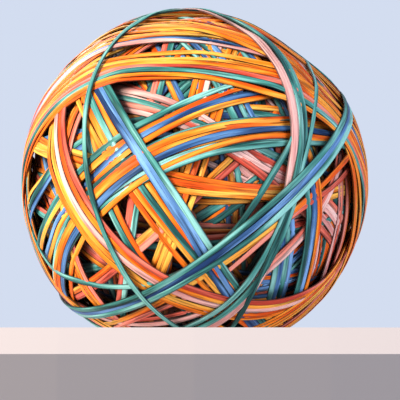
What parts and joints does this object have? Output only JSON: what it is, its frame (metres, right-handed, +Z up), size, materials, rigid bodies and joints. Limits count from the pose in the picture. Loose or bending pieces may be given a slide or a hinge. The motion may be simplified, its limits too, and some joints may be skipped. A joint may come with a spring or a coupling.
{
  "type": "rubber band ball",
  "caption": "Round ball wound from narrow coloured rubber bands that cross each other in every direction.",
  "frame": {"origin": "middle of the ball, which is the centre of its bounding box", "axes": "+Z up, -Y to the side that the picture shows, -Z through the spot that it lies on"},
  "size_m": [0.0842, 0.085, 0.0846],
  "materials": {
    "orange_rubber": "satin, bright orange",
    "salmon_rubber": "satin, salmon red",
    "pink_rubber": "satin, pale pink",
    "teal_rubber": "satin, green teal",
    "blue_rubber": "satin, mid blue",
    "inner_rubber": "satin, mixed colours in shade"
  },
  "bodies": {
    "root": {"arch_orange_2": "orange_rubber", "arch_teal_1": "teal_rubber", "belt_blue_2": "blue_rubber", "belt_branch_teal_1": "teal_rubber", "belt_teal_1": "teal_rubber", "belt_teal_3": "teal_rubber", "brow_orange_1": "orange_rubber", "brow_orange_2": "orange_rubber", "brow_orange_5": "orange_rubber", "brow_salmon_3": "salmon_rubber", "brow_teal_4": "teal_rubber", "crossbar_orange_1": "orange_rubber", "crossbar_orange_2": "orange_rubber", "crossbar_orange_3": "orange_rubber", "crown_blue_2": "blue_rubber", "crown_orange_1": "orange_rubber", "crown_pink_3": "pink_rubber", "diagonal_blue_2": "blue_rubber", "diagonal_teal_1": "teal_rubber", "inner_windings": "inner_rubber", "left_drop_orange_1": "orange_rubber", "left_drop_salmon_2": "salmon_rubber", "left_rim_orange_2": "orange_rubber", "left_rim_teal_1": "teal_rubber", "left_shelf_blue_2": "blue_rubber", "left_shelf_teal_1": "teal_rubber", "left_sweep_orange_2": "orange_rubber", "left_sweep_pink_3": "pink_rubber", "left_sweep_salmon_1": "salmon_rubber", "long_sweep_orange_1": "orange_rubber", "long_sweep_orange_3": "orange_rubber", "long_sweep_teal_2": "teal_rubber", "low_belt_orange_1": "orange_rubber", "low_cross_salmon_1": "salmon_rubber", "low_cross_teal_2": "teal_rubber", "low_shelf_blue_1": "blue_rubber", "low_slope_orange_1": "orange_rubber", "low_slope_teal_2": "teal_rubber", "low_slope_teal_3": "teal_rubber", "pale_fall_pink_1": "pink_rubber", "right_brow_orange_1": "orange_rubber", "right_brow_orange_2": "orange_rubber", "right_drop_blue_2": "blue_rubber", "right_drop_orange_1": "orange_rubber", "right_drop_teal_3": "teal_rubber", "right_hook_pink_1": "pink_rubber", "right_rim_orange_1": "orange_rubber", "right_rim_salmon_2": "salmon_rubber", "second_sweep_orange_1": "orange_rubber", "second_sweep_teal_2": "teal_rubber", "short_rise_orange_1": "orange_rubber", "short_rise_salmon_2": "salmon_rubber", "teal_fall_teal_1": "teal_rubber", "teal_fall_teal_2": "teal_rubber", "thread_teal_1": "teal_rubber", "top_slope_blue_3": "blue_rubber", "top_slope_orange_2": "orange_rubber", "top_slope_teal_1": "teal_rubber", "upright_salmon_1": "salmon_rubber", "upright_teal_2": "teal_rubber"}
  },
  "joints": []
}
